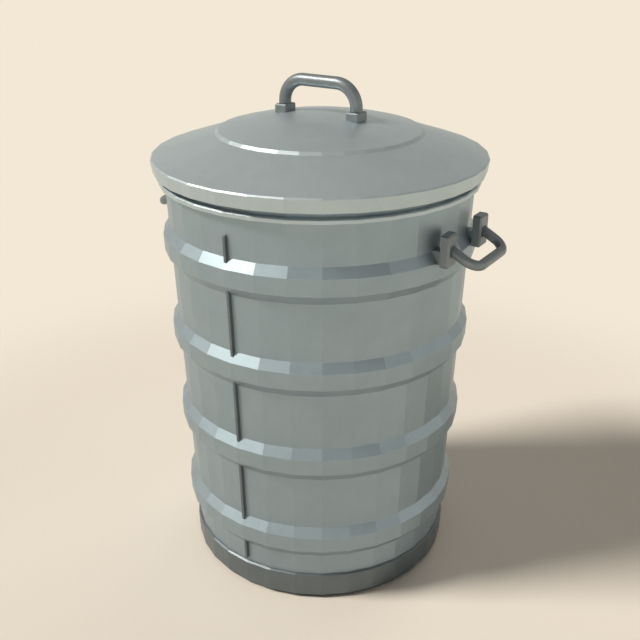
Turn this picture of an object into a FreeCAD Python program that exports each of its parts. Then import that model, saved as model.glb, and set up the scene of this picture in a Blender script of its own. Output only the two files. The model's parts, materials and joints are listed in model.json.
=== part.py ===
"""Galvanised steel trash can with a lift-off lid, as a parametric document.

The can and the lid are folded from sheet steel with flats all round, so each
round piece is a ruled loft through regular polygons that share their corners.
Lengths are millimetres, +Z is up, the origin is the middle of the foot and the
side handles stand at +X and -X.
"""
import FreeCAD, Part
import math
import os

import Sketcher

# Driving sizes. Every one of them becomes a cell of the sheet under its name.
SIZES = {
    # What all the sheet-steel pieces share
    "side_count": 32,               # flats round each round piece
    "sheet_thickness": 0.8,         # can, pan and lid sheet
    "fit_gap": 0.3,                 # clearance between pieces that meet
    "cut_margin": 1.0,              # how far a cutter runs past the metal
    # Can wall: a cone with swaged ribs
    "wall_foot_radius": 196.3,      # outer corner radius at floor level
    "wall_rim_radius": 219.9,       # outer corner radius at the rim
    "can_height": 628.05,           # top of the rolled rim
    "rib_count": 4,
    "lowest_rib_height": 103.5,     # middle of the lowest rib
    "rib_spacing": 134.6,
    "rib_depth": 9.5,               # how far a rib stands out
    "rib_half_flat": 12.1,
    "rib_slope_height": 13.5,
    # Rim: rolled edge over a wire, with a folded hoop a little below it
    "rim_radius": 227.2,            # outer corner radius of roll and hoop
    "roll_height": 8.4,
    "roll_bevel": 2.6,
    "roll_slot": 1.5,               # opening beside the wall where the roll ends
    "rim_wire_size": 5.4,
    "hoop_foot_height": 590.4,
    "hoop_height": 7.0,
    "hoop_upper_bevel": 1.8,
    "hoop_lower_bevel": 0.6,
    "hoop_thickness": 1.2,
    "fold_rise": 0.3,               # slope of a fold that is nearly level
    # Foot: dark ring outside on a set-back foot, raised pan inside
    "foot_height": 5.0,             # from the floor to the ring's overhanging edge
    "foot_recess": 4.5,             # from the ring's outer face back to its foot
    "ring_height": 43.4,
    "ring_stand_out": 3.5,          # from the wall to the ring's outer face
    "ring_bevel": 1.7,              # along the overhanging edge
    "ring_top_bevel": 2.9,          # width of the upper bevel, nearly to the wall
    "ring_top_bevel_drop": 1.8,
    "ring_foot_thickness": 2.5,
    "ring_foot_radius": 188.0,      # bore of the ring's inturned foot
    "pan_height": 29.0,
    "pan_bevel": 2.0,
    "pan_panel_radius": 150.0,      # stiffening panel pressed up in the pan
    "pan_panel_rise": 5.0,
    "pan_panel_slope": 6.0,
    # Side seam cover strips, at -Y
    "strip_width": 4.0,
    "strip_depth": 4.7,
    "strip_bottom_height": 50.5,
    "strip_top_height": 563.0,
    "strip_bevel": 0.5,
    "strip_end_gap": 0.5,           # between a strip's end and a rib's slope
    # Side handles: two lugs and a bar that droops outward
    "lug_spacing": 98.0,            # between the lugs' middles
    "lug_width": 25.0,
    "lug_thickness": 12.5,
    "lug_height": 44.0,
    "lug_bottom_height": 515.0,
    "lug_outer_distance": 234.5,    # from the axis to the lug's outer face
    "lug_bevel": 2.2,
    "lug_foot_width": 15.0,
    "lug_foot_height": 18.0,
    "side_bar_diameter": 13.5,
    "side_bar_height": 536.4,       # where it enters the lug's outer face
    "side_bar_reach": 37.3,         # along its slope, to the middle of the grip
    "side_bar_corner": 20.0,
    "side_bar_droop": 28.0,         # degrees below level
    "side_bar_socket": 8.0,
    # Screws that hold the lugs, from inside the can
    "lug_screw_height": 522.0,
    "screw_diameter": 6.0,
    "screw_head_width": 10.0,
    "screw_head_height": 4.0,
    "lug_screw_end": 231.0,         # distance of the tip from the axis
    "wedge_washer_diameter": 16.0,
    "wedge_washer_face": 204.5,     # distance of its flat face from the axis
    # Lid: skirt, cone, step and dome
    "lid_radius": 236.3,            # outer corner radius at the lid's edge
    "skirt_foot_radius": 233.6,
    "skirt_height": 19.6,
    "lid_bevel": 2.0,
    "lid_bevel_drop": 1.4,          # from the lid's edge down to the skirt's face
    "cone_rise": 29.0,
    "step_radius": 146.6,           # where the cone ends and the step begins
    "step_height": 4.1,
    "step_lean": 4.1,               # how far the step leans in over its height
    "dome_rise": 20.2,
    "dome_flat_radius": 18.6,
    "hem_size": 5.4,                # hem rolled inward at the skirt's foot
    "hem_slot": 1.2,
    "hem_wire_size": 2.6,
    # Lid handle
    "lid_handle_span": 117.0,       # between the legs' middles
    "lid_bar_diameter": 17.2,
    "lid_bar_top": 93.5,            # middle of the grip above the can's rim
    "lid_bar_corner": 31.5,
    "boss_length": 19.5,            # along the handle
    "boss_width": 25.0,
    "boss_height": 10.9,            # above the dome at its middle
    "boss_bevel": 1.4,
    "boss_socket": 6.8,
    "lid_screw_depth": 16.0,        # how far the screw runs into the bar
    "lid_washer_diameter": 16.0,
    "lid_washer_thickness": 1.6,    # at the thin side
}

RING_STEPS_ON_DOME = (1.0, 0.8, 0.6, 0.4, 0.2)
QUARTER_TURN = 90.0
NEAR_LUGS = slice(-6, None)     # the top rib's rings, with one below and one above
FROM_DOME_EDGE = slice(2, None)     # rings of the lid's upper face on its dome
FROM_STEP_FOOT = slice(2, None)     # rings of the lid's under face above the cone
TINY = 1e-3             # lengths closer than this count as equal
ALONG_X = FreeCAD.Rotation(FreeCAD.Vector(0, 1, 0), QUARTER_TURN)

doc = FreeCAD.newDocument("TrashCan")


def make_sheet():
    """Write the driving sizes into a spreadsheet, one alias each."""
    cells = doc.addObject("Spreadsheet::Sheet", "Sizes")
    for row, (alias, number) in enumerate(SIZES.items(), start=1):
        cells.set(f"A{row}", alias)
        cells.set(f"B{row}", str(number))
        cells.setAlias(f"B{row}", alias)
    doc.recompute()
    return cells


sheet = make_sheet()


def size(expression):
    """Number that an expression on the sheet gives now."""
    return float(sheet.evalExpression(str(expression)))


# ---------------------------------------------------------------- expressions
def wall(height, offset="0"):
    """Outer corner radius of the can's wall at a height, moved out by an offset."""
    taper = "(Sizes.wall_rim_radius - Sizes.wall_foot_radius) / Sizes.can_height"
    return f"(Sizes.wall_foot_radius + {taper} * ({height}) + ({offset}))"


def rib_middle(number):
    """Height of the middle of a rib, counted from the lowest."""
    return f"(Sizes.lowest_rib_height + {number} * Sizes.rib_spacing)"


RIB_HALF_HEIGHT = "(Sizes.rib_half_flat + Sizes.rib_slope_height)"
RING_LEDGE = "(Sizes.foot_height + Sizes.ring_foot_thickness)"
SHELL_FOOT = f"({RING_LEDGE} + Sizes.fit_gap)"
ROLL_FOOT = "(Sizes.can_height - Sizes.roll_height)"
HOOP_TOP = "(Sizes.hoop_foot_height + Sizes.hoop_height)"
CONE_SLOPE = "(Sizes.cone_rise / (Sizes.lid_radius - Sizes.step_radius))"
ROLL_FLAT_RADIUS = "(Sizes.rim_radius - Sizes.roll_bevel)"
# The lid's cone rests on the outer edge of the rolled rim's flat top.
LID_EDGE = (f"(Sizes.can_height + Sizes.fit_gap + Sizes.sheet_thickness"
            f" - {CONE_SLOPE} * (Sizes.lid_radius - {ROLL_FLAT_RADIUS}))")
SKIRT_FOOT = f"({LID_EDGE} - Sizes.skirt_height)"
SKIRT_TOP = f"({LID_EDGE} - Sizes.lid_bevel_drop)"
STEP_FOOT = f"({LID_EDGE} + Sizes.cone_rise)"
STEP_TOP = f"({STEP_FOOT} + Sizes.step_height)"
DOME_RADIUS = "(Sizes.step_radius - Sizes.step_lean)"
DOME_TOP = f"({STEP_TOP} + Sizes.dome_rise)"
LEG_DISTANCE = "(Sizes.lid_handle_span / 2)"
LUG_BACK = "(Sizes.lug_outer_distance - Sizes.lug_thickness)"
LUG_MIDDLE = "(Sizes.lug_spacing / 2)"
LUG_TOP = "(Sizes.lug_bottom_height + Sizes.lug_height)"


def dome(radius, offset="0"):
    """Height of the lid's dome at a distance from the axis, plus an offset."""
    fall = f"Sizes.dome_rise * ({radius}) * ({radius}) / ({DOME_RADIUS} * {DOME_RADIUS})"
    return f"({DOME_TOP} - {fall} + ({offset}))"


BOSS_FOOT = dome(LEG_DISTANCE)
BOSS_TOP = f"({BOSS_FOOT} + Sizes.boss_height)"
LID_BAR_FOOT = f"({BOSS_TOP} - Sizes.boss_socket + Sizes.fit_gap)"
LID_BAR_HEIGHT = f"(Sizes.can_height + Sizes.lid_bar_top - {LID_BAR_FOOT})"
SKIRT_TAPER = "((Sizes.lid_radius - Sizes.skirt_foot_radius) / Sizes.skirt_height)"


# --------------------------------------------------------- building functions
def faceted(name, rings):
    """Ruled solid through polygons given as (corner radius, height) expressions."""
    sections = []
    for number, (radius, height) in enumerate(rings):
        ring = doc.addObject("Part::RegularPolygon", f"{name}_ring_{number}")
        ring.setExpression("Polygon", "Sizes.side_count")
        ring.setExpression("Circumradius", radius)
        ring.setExpression("Placement.Base.z", height)
        sections.append(ring)
    loft = doc.addObject("Part::Loft", name)
    loft.Sections = sections
    loft.Solid = True
    loft.Ruled = True
    return loft


def fused(name, pieces):
    """Union of several objects, or the object itself where there is only one."""
    if len(pieces) == 1:
        return pieces[0]
    union = doc.addObject("Part::MultiFuse", name)
    union.Shapes = pieces
    union.Refine = False
    return union


def without(name, base, *tools):
    """The base with every tool cut away."""
    cut = doc.addObject("Part::Cut", name)
    cut.Base = base
    cut.Tool = fused(f"{name}_tools", list(tools))
    cut.Refine = False
    return cut


def shared(name, base, tool):
    """What the base and the tool have in common."""
    common = doc.addObject("Part::Common", name)
    common.Base = base
    common.Tool = tool
    return common


def group(name, pieces):
    """Separate solids of one kind kept in one node."""
    compound = doc.addObject("Part::Compound", name)
    compound.Links = pieces
    return compound


def cylinder(name, diameter, length, placement):
    """Cylinder whose diameter and length follow expressions."""
    rod = doc.addObject("Part::Cylinder", name)
    rod.setExpression("Radius", f"({diameter}) / 2")
    rod.setExpression("Height", length)
    rod.Placement = placement
    return rod


def hexagon_head(name, placement):
    """Head of a hexagon screw, on the sheet's width and height."""
    head = doc.addObject("Part::Prism", name)
    head.Polygon = 6
    head.setExpression("Circumradius", "Sizes.screw_head_width / 2")
    head.setExpression("Height", "Sizes.screw_head_height")
    head.Placement = placement
    return head


def sketch_on(body, role, name):
    """Empty sketch on one of the body's own origin planes."""
    sketch = body.newObject("Sketcher::SketchObject", name)
    planes = {plane.Role: plane for plane in body.Origin.OriginFeatures}
    sketch.AttachmentSupport = (planes[role], [""])
    sketch.MapMode = "FlatFace"
    return sketch


def hold_point(sketch, edge, end, across, up):
    """Bind one end of a sketch edge to two expressions."""
    for kind, expression in (("DistanceX", across), ("DistanceY", up)):
        index = sketch.addConstraint(
            Sketcher.Constraint(kind, -1, 1, edge, end, size(expression)))
        sketch.setExpression(f"Constraints[{index}]", expression)


def add_line(sketch, start, end):
    """Straight edge between two points given as pairs of expressions."""
    ends = [FreeCAD.Vector(size(x), size(y), 0) for x, y in (start, end)]
    edge = sketch.addGeometry(Part.LineSegment(*ends))
    hold_point(sketch, edge, 1, *start)
    return edge


def add_outline(sketch, corners):
    """Closed outline of straight edges through corners given as expressions."""
    edges = [add_line(sketch, corner, corners[(number + 1) % len(corners)])
             for number, corner in enumerate(corners)]
    for number, edge in enumerate(edges):
        following = edges[(number + 1) % len(edges)]
        sketch.addConstraint(Sketcher.Constraint("Coincident", edge, 2, following, 1))


def add_circle(sketch, across, up, diameter):
    """Circle whose centre and diameter follow expressions."""
    centre = FreeCAD.Vector(size(across), size(up), 0)
    edge = sketch.addGeometry(
        Part.Circle(centre, FreeCAD.Vector(0, 0, 1), size(diameter) / 2))
    hold_point(sketch, edge, 3, across, up)
    index = sketch.addConstraint(Sketcher.Constraint("Diameter", edge, size(diameter)))
    sketch.setExpression(f"Constraints[{index}]", diameter)


def add_corner(sketch, before, after, centre, radius, start_angle):
    """Quarter arc that joins two held lines; it runs from after to before."""
    middle = FreeCAD.Vector(size(centre[0]), size(centre[1]), 0)
    circle = Part.Circle(middle, FreeCAD.Vector(0, 0, 1), size(radius))
    start = math.radians(start_angle)
    edge = sketch.addGeometry(
        Part.ArcOfCircle(circle, start, start + math.radians(QUARTER_TURN)))
    sketch.addConstraint(Sketcher.Constraint("Coincident", edge, 2, before, 2))
    sketch.addConstraint(Sketcher.Constraint("Coincident", edge, 1, after, 1))
    index = sketch.addConstraint(Sketcher.Constraint("Radius", edge, size(radius)))
    sketch.setExpression(f"Constraints[{index}]", radius)


def add_bow(sketch, half_span, rise, corner):
    """Bow path: up on the left, over a straight grip and down on the right."""
    shoulder = f"({half_span} - {corner})"
    turn = f"({rise} - {corner})"
    points = [
        [(f"-{half_span}", "0"), (f"-{half_span}", turn)],
        [(f"-{shoulder}", rise), (shoulder, rise)],
        [(half_span, turn), (half_span, "0")],
    ]
    lines = []
    for start, end in points:
        line = add_line(sketch, start, end)
        hold_point(sketch, line, 2, *end)
        lines.append(line)
    add_corner(sketch, lines[0], lines[1], (f"-{shoulder}", turn), corner, QUARTER_TURN)
    add_corner(sketch, lines[1], lines[2], (shoulder, turn), corner, 0.0)


def pad(body, name, sketch, length):
    """Symmetric pad of a sketch."""
    feature = body.newObject("PartDesign::Pad", name)
    feature.Profile = sketch
    feature.SideType = "Symmetric"
    feature.setExpression("Length", length)
    body.Tip = feature
    doc.recompute([feature])
    return feature


def chamfer(body, base, width, keep):
    """Chamfer on the edges of a feature whose middle passes the keep test."""
    edges = [f"Edge{number}" for number, edge in enumerate(base.Shape.Edges, start=1)
             if keep(edge.CenterOfMass)]
    feature = body.newObject("PartDesign::Chamfer", "Bevel")
    feature.Base = (base, edges)
    feature.setExpression("Size", width)
    body.Tip = feature
    return feature


def bent_bar(name, plane_roles, half_span, rise, corner, diameter):
    """Round bar swept along a bow; the roles name the path's and end's planes."""
    body = doc.addObject("PartDesign::Body", name)
    path = sketch_on(body, plane_roles[0], f"{name}_path")
    add_bow(path, half_span, rise, corner)
    section = sketch_on(body, plane_roles[1], f"{name}_section")
    add_circle(section, f"-{half_span}", "0", diameter)
    pipe = body.newObject("PartDesign::AdditivePipe", f"{name}_pipe")
    pipe.Profile = section
    pipe.Spine = (path, [""])
    body.Tip = pipe
    return body


# --------------------------------------------------------------------- the can
def wall_rings(offset, foot=SHELL_FOOT, top=ROLL_FOOT):
    """Rings up the ribbed wall, moved outward from its outer face by an offset."""
    rings = [(wall(foot, offset), foot)]
    for number in range(int(size("Sizes.rib_count"))):
        middle = rib_middle(number)
        raised = f"{offset} + Sizes.rib_depth"
        levels = (
            (f"{middle} - {RIB_HALF_HEIGHT}", offset),
            (f"{middle} - Sizes.rib_half_flat", raised),
            (f"{middle} + Sizes.rib_half_flat", raised),
            (f"{middle} + {RIB_HALF_HEIGHT}", offset),
        )
        rings += [(wall(level, out), level) for level, out in levels]
    rings.append((wall(top, offset), top))
    return rings


def make_body_shell(screw_holes):
    """Tapered wall with its ribs and the rolled rim, open at both ends."""
    below = f"({SHELL_FOOT} - Sizes.cut_margin)"
    above = "(Sizes.can_height + Sizes.cut_margin)"
    flat = ROLL_FLAT_RADIUS
    lower = f"({ROLL_FOOT} + Sizes.fold_rise)"
    roll = [
        (flat, lower),
        ("Sizes.rim_radius", f"({lower} + Sizes.roll_bevel)"),
        ("Sizes.rim_radius", "(Sizes.can_height - Sizes.roll_bevel)"),
        (flat, "Sizes.can_height"),
    ]
    outside = faceted("shell_outside", wall_rings("0") + roll)
    bore = faceted("shell_bore", wall_rings("-Sizes.sheet_thickness", below, above))
    tunnel_foot = f"({lower} + Sizes.sheet_thickness)"
    tunnel_top = "(Sizes.can_height - Sizes.sheet_thickness)"
    inner_flat = f"({flat} - Sizes.sheet_thickness / 2)"
    inner_face = "(Sizes.rim_radius - Sizes.sheet_thickness)"
    inner_bevel = "(Sizes.roll_bevel - Sizes.sheet_thickness / 2)"
    slot_foot = f"({ROLL_FOOT} - Sizes.cut_margin)"
    tunnel = faceted("roll_tunnel", [
        (wall(slot_foot, "Sizes.roll_slot"), slot_foot),
        (wall(tunnel_foot, "Sizes.roll_slot"), f"({tunnel_foot} - Sizes.fold_rise / 5)"),
        (inner_flat, tunnel_foot),
        (inner_face, f"({tunnel_foot} + {inner_bevel})"),
        (inner_face, f"({tunnel_top} - {inner_bevel})"),
        (inner_flat, tunnel_top),
    ])
    kept_wall = faceted("roll_kept_wall", [
        (wall(f"({slot_foot} - Sizes.cut_margin)"), f"({slot_foot} - Sizes.cut_margin)"),
        (wall(above), above),
    ])
    roll_space = without("roll_space", tunnel, kept_wall)
    return without("body_shell", outside, bore, roll_space, *screw_holes)


def make_wire(name, radius, height, diameter):
    """Hidden reinforcing wire that follows the flats, eight-sided in section."""
    long_half = f"({diameter} / 2)"
    short_half = f"({diameter} / 2 * {math.tan(math.pi / 8):.6f})"
    profile = (("-", long_half, short_half), ("-", short_half, long_half),
               ("+", short_half, long_half), ("+", long_half, short_half))
    halves = []
    for sign, label in (("+", "outside"), ("-", "bore")):
        rings = [(f"({radius} {sign} {out})", f"({height} {side} {up})")
                 for side, up, out in profile]
        halves.append(faceted(f"{name}_{label}", rings))
    return without(name, *halves)


def make_rim_hoop():
    """Folded steel hoop round the wall below the rolled rim, hollow behind its face."""
    foot = "Sizes.hoop_foot_height"
    thick = "Sizes.hoop_thickness"
    face_foot = f"({foot} + Sizes.fold_rise + Sizes.hoop_lower_bevel)"
    face_top = f"({HOOP_TOP} - Sizes.fold_rise - Sizes.hoop_upper_bevel)"
    flange = f"Sizes.fit_gap + {thick}"
    below = f"({foot} - Sizes.cut_margin)"
    above = f"({HOOP_TOP} + Sizes.cut_margin)"
    inner_foot = f"({foot} + {thick})"
    inner_top = f"({HOOP_TOP} - {thick})"
    inner_face = f"(Sizes.rim_radius - {thick})"
    outside = faceted("hoop_outside", [
        (wall(foot, flange), foot),
        ("(Sizes.rim_radius - Sizes.hoop_lower_bevel)", f"({foot} + Sizes.fold_rise)"),
        ("Sizes.rim_radius", face_foot),
        ("Sizes.rim_radius", face_top),
        ("(Sizes.rim_radius - Sizes.hoop_upper_bevel)", f"({HOOP_TOP} - Sizes.fold_rise)"),
        (wall(HOOP_TOP, flange), HOOP_TOP),
    ])
    bore = faceted("hoop_bore", [
        (wall(below, "Sizes.fit_gap"), below),
        (wall(above, "Sizes.fit_gap"), above),
    ])
    hollow = faceted("hoop_hollow", [
        (wall(inner_foot, flange), inner_foot),
        (f"({inner_face} - Sizes.hoop_lower_bevel)", f"({inner_foot} + Sizes.fold_rise)"),
        (inner_face, f"({face_foot} + {thick})"),
        (inner_face, f"({face_top} - {thick})"),
        (f"({inner_face} - Sizes.hoop_upper_bevel)", f"({inner_top} - Sizes.fold_rise)"),
        (wall(inner_top, flange), inner_top),
    ])
    return without("rim_hoop", outside, bore, hollow)


def make_bottom_pan():
    """Raised floor of the can, flanged down to the foot of the wall."""
    seat = "-Sizes.sheet_thickness - Sizes.fit_gap"
    inner_seat = "-2 * Sizes.sheet_thickness - Sizes.fit_gap"
    shoulder = "(Sizes.pan_height - Sizes.pan_bevel)"
    panel_top = "(Sizes.pan_height + Sizes.pan_panel_rise)"
    panel_foot_radius = "(Sizes.pan_panel_radius + Sizes.pan_panel_slope)"
    below = f"({SHELL_FOOT} - Sizes.cut_margin)"
    dish_edge = "(Sizes.pan_height - Sizes.fold_rise)"
    outside = faceted("pan_outside", [
        (wall(SHELL_FOOT, seat), SHELL_FOOT),
        (wall(shoulder, seat), shoulder),
        (wall("Sizes.pan_height", f"{seat} - Sizes.pan_bevel"), dish_edge),
        (panel_foot_radius, "Sizes.pan_height"),
        ("Sizes.pan_panel_radius", panel_top),
    ])
    under = "Sizes.sheet_thickness"
    inside = faceted("pan_inside", [
        (wall(below, inner_seat), below),
        (wall(shoulder, inner_seat), f"({shoulder} - {under} / 2)"),
        (wall("Sizes.pan_height", f"{inner_seat} - Sizes.pan_bevel / 2"),
         f"({dish_edge} - {under})"),
        (f"({panel_foot_radius} - {under} / 2)", f"(Sizes.pan_height - {under})"),
        (f"(Sizes.pan_panel_radius - {under} / 2)", f"({panel_top} - {under})"),
    ])
    return without("bottom_pan", outside, inside)


def make_base_ring():
    """Heavy ring round the can on a set-back foot, turned in under wall and pan."""
    out = "Sizes.ring_stand_out"
    bevel = "Sizes.ring_bevel"
    foot = "Sizes.foot_height"
    foot_face = wall("0", f"{out} - Sizes.foot_recess")
    face_top = "(Sizes.ring_height - Sizes.ring_top_bevel_drop)"
    outside = faceted("ring_outside", [
        (foot_face, "0"),
        (foot_face, f"({foot} - Sizes.fold_rise)"),
        (wall(foot, f"{out} - {bevel}"), foot),
        (wall(f"{foot} + {bevel}", out), f"({foot} + {bevel})"),
        (wall(face_top, out), face_top),
        (wall("Sizes.ring_height", f"{out} - Sizes.ring_top_bevel"), "Sizes.ring_height"),
    ])
    above = "(Sizes.ring_height + Sizes.cut_margin)"
    bore = faceted("ring_bore", [
        (wall(RING_LEDGE, "Sizes.fit_gap"), RING_LEDGE),
        (wall(above, "Sizes.fit_gap"), above),
    ])
    opening = faceted("ring_opening", [
        ("Sizes.ring_foot_radius", "-Sizes.cut_margin"),
        ("Sizes.ring_foot_radius", f"({RING_LEDGE} + Sizes.cut_margin)"),
    ])
    return without("base_ring", outside, bore, opening)


def make_seam_strip(number, ribs):
    """Cover strip over the side seam, between two ribs or a rib and its own end."""
    name = f"seam_strip_{number + 1}"
    inner = "Sizes.fit_gap"
    outer = "Sizes.strip_depth"
    slope = "Sizes.rib_slope_height / Sizes.rib_depth"
    clear = "Sizes.strip_end_gap"

    def lower_end(out):
        if number == 0:
            return "Sizes.strip_bottom_height"
        return f"({rib_middle(number - 1)} + {RIB_HALF_HEIGHT} - {slope} * {out} + {clear})"

    def upper_end(out):
        if number == ribs:
            return "Sizes.strip_top_height"
        return f"({rib_middle(number)} - {RIB_HALF_HEIGHT} + {slope} * {out} - {clear})"

    corners = [(f"-{wall(end(out), out)}", end(out))
               for end, out in ((lower_end, inner), (lower_end, outer),
                                (upper_end, outer), (upper_end, inner))]
    body = doc.addObject("PartDesign::Body", name)
    outline = sketch_on(body, "YZ_Plane", f"{name}_outline")
    add_outline(outline, corners)
    block = pad(body, f"{name}_pad", outline, "Sizes.strip_width")

    def is_outer_corner(point):
        at_side = abs(point.x) > size("Sizes.strip_width") / 4
        outer_face = -size(wall(point.z, outer))
        return at_side and point.y < outer_face + size("Sizes.cut_margin")

    chamfer(body, block, "Sizes.strip_bevel", is_outer_corner)
    return body


# ---------------------------------------------------------------- side handles
def turned(angle):
    """Turn about the can's axis that carries the +X handle to its own side."""
    return FreeCAD.Placement(FreeCAD.Vector(), FreeCAD.Rotation(FreeCAD.Vector(0, 0, 1), angle))


def lug_screw_placement(side, start):
    """Placement of a round piece on a lug screw's axis, from a distance outward."""
    point = FreeCAD.Vector(size(start), side * size(LUG_MIDDLE), size("Sizes.lug_screw_height"))
    return FreeCAD.Placement(point, ALONG_X)


SCREW_HOLE = "(Sizes.screw_diameter + 2 * Sizes.fit_gap)"
WASHER_FACE = "Sizes.wedge_washer_face"


def screw_hole(name, side, start, end):
    """Clearance hole on a lug screw's axis, between two distances from the axis."""
    return cylinder(name, SCREW_HOLE, f"({end} - {start})", lug_screw_placement(side, start))


def make_lug(name, side, room):
    """Lug block with a foot that seats on the wall and the top rib."""
    body = doc.addObject("PartDesign::Body", f"{name}_block")
    outline = sketch_on(body, "XZ_Plane", f"{name}_outline")
    add_outline(outline, [
        (LUG_BACK, "Sizes.lug_bottom_height"),
        ("Sizes.lug_outer_distance", "Sizes.lug_bottom_height"),
        ("Sizes.lug_outer_distance", LUG_TOP),
        (LUG_BACK, LUG_TOP),
    ])
    block = pad(body, f"{name}_pad", outline, "Sizes.lug_width")
    back = size(LUG_BACK)
    chamfer(body, block, "Sizes.lug_bevel", lambda point: point.x > back + TINY)
    foot = doc.addObject("Part::Box", f"{name}_foot")
    foot.setExpression("Length", f"({LUG_BACK} + Sizes.cut_margin - {WASHER_FACE})")
    foot.setExpression("Width", "Sizes.lug_foot_width")
    foot.setExpression("Height", "Sizes.lug_foot_height")
    foot.setExpression("Placement.Base.x", WASHER_FACE)
    foot.setExpression("Placement.Base.y", "-Sizes.lug_foot_width / 2")
    foot.setExpression("Placement.Base.z", "Sizes.lug_bottom_height + Sizes.lug_bevel")
    whole = fused(f"{name}_whole", [body, foot])
    whole.Placement.Base = FreeCAD.Vector(0, side * size(LUG_MIDDLE), 0)
    droop = FreeCAD.Rotation(FreeCAD.Vector(0, 1, 0), QUARTER_TURN + size("Sizes.side_bar_droop"))
    mouth = FreeCAD.Vector(size("Sizes.lug_outer_distance"), side * size(LUG_MIDDLE),
                           size("Sizes.side_bar_height"))
    depth = "(Sizes.side_bar_socket + Sizes.fit_gap)"
    inward = droop.multVec(FreeCAD.Vector(0, 0, -size(depth)))
    socket = cylinder(f"{name}_socket", "(Sizes.side_bar_diameter + 2 * Sizes.fit_gap)",
                      f"({depth} + Sizes.lug_thickness)", FreeCAD.Placement(mouth + inward, droop))
    hole = screw_hole(f"{name}_hole", side, WASHER_FACE, "(Sizes.lug_screw_end + Sizes.fit_gap)")
    return without(f"{name}_cut", whole, room, socket, hole)


def make_lug_screw(name, side):
    """Hexagon screw from inside the can through the wall into a lug."""
    start = f"({WASHER_FACE} - Sizes.fit_gap)"
    shank = cylinder(f"{name}_shank", "Sizes.screw_diameter", f"(Sizes.lug_screw_end - {start})",
                     lug_screw_placement(side, start))
    head_start = f"({start} - Sizes.screw_head_height)"
    head = hexagon_head(f"{name}_head", lug_screw_placement(side, head_start))
    return fused(name, [shank, head])


def make_wedge_washer(name, side, room):
    """Washer with a flat face for the screw and a back that follows the wall."""
    disc = cylinder(f"{name}_disc", "Sizes.wedge_washer_diameter",
                    f"(Sizes.lug_outer_distance - {WASHER_FACE})",
                    lug_screw_placement(side, WASHER_FACE))
    hole = screw_hole(f"{name}_hole", side, f"({WASHER_FACE} - Sizes.cut_margin)",
                      "Sizes.lug_outer_distance")
    return without(name, shared(f"{name}_fitted", disc, room), hole)


def make_side_bar(name):
    """Drooping carrying bar; its ends stand in the lugs' sockets."""
    rise = "(Sizes.side_bar_reach + Sizes.side_bar_socket)"
    body = bent_bar(f"{name}_bent", ("XY_Plane", "XZ_Plane"), LUG_MIDDLE, rise,
                    "Sizes.side_bar_corner", "Sizes.side_bar_diameter")
    # The bow rises along +Y in its own frame: turn that to +X, then droop it.
    to_side = FreeCAD.Rotation(FreeCAD.Vector(0, 0, 1), -QUARTER_TURN)
    droop = FreeCAD.Rotation(FreeCAD.Vector(0, 1, 0), size("Sizes.side_bar_droop"))
    outward = droop.multVec(FreeCAD.Vector(1, 0, 0))
    mouth = FreeCAD.Vector(size("Sizes.lug_outer_distance"), 0, size("Sizes.side_bar_height"))
    body.Placement = FreeCAD.Placement(
        mouth - outward * size("Sizes.side_bar_socket"), droop.multiply(to_side))
    return body


def make_side_handle(side_name, angle, lug_room, washer_room):
    """All pieces of one side handle, turned to their side, and its wall holes."""
    placement = turned(angle)
    pieces = {}
    lugs = {"front": -1, "rear": 1} if angle == 0 else {"front": 1, "rear": -1}
    for place, side in lugs.items():
        name = f"{side_name}_{place}_lug"
        pieces[name] = group(name, [make_lug(name, side, lug_room)])
    bar = f"{side_name}_handle_bar"
    pieces[bar] = group(bar, [make_side_bar(bar)])
    screws = f"{side_name}_handle_screws"
    pieces[screws] = group(screws, [make_lug_screw(f"{side_name}_{place}_screw", side)
                                    for place, side in lugs.items()])
    washers = f"{side_name}_wedge_washers"
    pieces[washers] = group(washers, [make_wedge_washer(f"{side_name}_{place}_washer", side, washer_room)
                                      for place, side in lugs.items()])
    for piece in pieces.values():
        piece.Placement = placement
    holes = [screw_hole(f"{side_name}_{place}_wall_hole", side, WASHER_FACE,
                        "Sizes.lug_outer_distance") for place, side in lugs.items()]
    for hole in holes:
        hole.Placement = placement.multiply(hole.Placement)
    return pieces, holes


# --------------------------------------------------------------------- the lid
def lid_top_rings(lift):
    """Rings of the lid's upper face from its edge to the dome, raised by a lift."""
    rings = [
        ("(Sizes.lid_radius - Sizes.lid_bevel)",
         f"({LID_EDGE} + {CONE_SLOPE} * Sizes.lid_bevel + {lift})"),
        ("Sizes.step_radius", f"({STEP_FOOT} + {lift})"),
        (DOME_RADIUS, f"({STEP_TOP} + {lift})"),
    ]
    for share in RING_STEPS_ON_DOME[1:]:
        radius = f"({DOME_RADIUS} * {share})"
        rings.append((radius, dome(radius, lift)))
    rings.append(("Sizes.dome_flat_radius", dome("Sizes.dome_flat_radius", lift)))
    return rings


def lid_under_rings(drop):
    """Rings of the lid's under face, a drop below its upper face."""
    sheet_in = "Sizes.sheet_thickness"
    rings = [
        (f"(Sizes.lid_radius - {sheet_in})", SKIRT_TOP),
        ("(Sizes.lid_radius - Sizes.lid_bevel)",
         f"({LID_EDGE} + {CONE_SLOPE} * Sizes.lid_bevel - {drop})"),
        (f"(Sizes.step_radius - {sheet_in} / 2)", f"({STEP_FOOT} - {drop})"),
    ]
    for share in RING_STEPS_ON_DOME:
        radius = f"({DOME_RADIUS} * {share} - {sheet_in} / 2)"
        rings.append((radius, dome(f"({DOME_RADIUS} * {share})", f"-{drop}")))
    rings.append((f"(Sizes.dome_flat_radius - {sheet_in} / 2)",
                  dome("Sizes.dome_flat_radius", f"-{drop}")))
    return rings


def skirt_radius(height_above_foot, inset="0"):
    """Corner radius of the skirt's outer face at a height above its foot."""
    return f"(Sizes.skirt_foot_radius + {SKIRT_TAPER} * ({height_above_foot}) - ({inset}))"


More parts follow.
